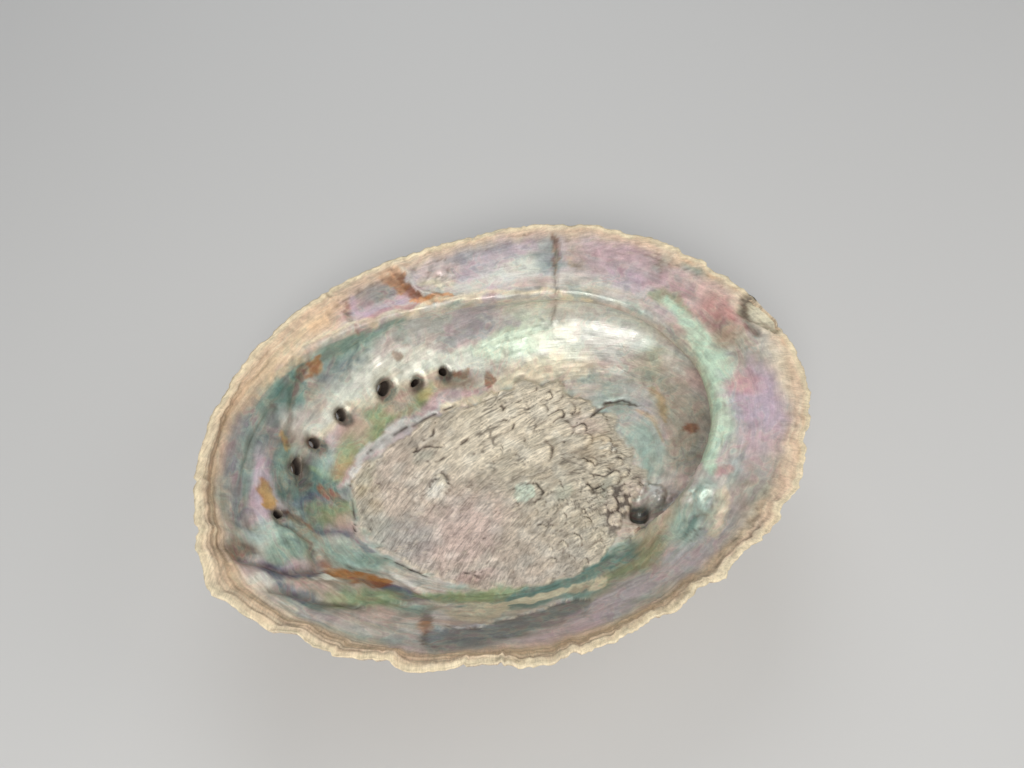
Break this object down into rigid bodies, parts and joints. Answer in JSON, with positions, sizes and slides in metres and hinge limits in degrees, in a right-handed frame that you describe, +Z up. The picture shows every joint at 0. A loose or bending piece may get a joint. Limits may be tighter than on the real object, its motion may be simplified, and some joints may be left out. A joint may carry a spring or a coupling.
{
  "type": "abalone shell",
  "caption": "Large oval abalone shell lying on its back, mouth up, with a broad flat shelf, a row of breathing holes and a rough muscle scar in a pearly bowl.",
  "frame": {"origin": "centre of the shell's outline, on the surface it lies on", "axes": "+X towards the old end with the spire, +Y towards the side of the flat shelf, +Z up out of the mouth"},
  "size_m": [0.197, 0.1542, 0.052],
  "materials": {
    "shell": "natural shell: pearly pastel nacre inside with brown stains, rough chalky muscle scar, peach blunt lip, and a dull reddish brown ribbed outside"
  },
  "bodies": {
    "root": {"abalone_shell": "shell"}
  },
  "joints": []
}
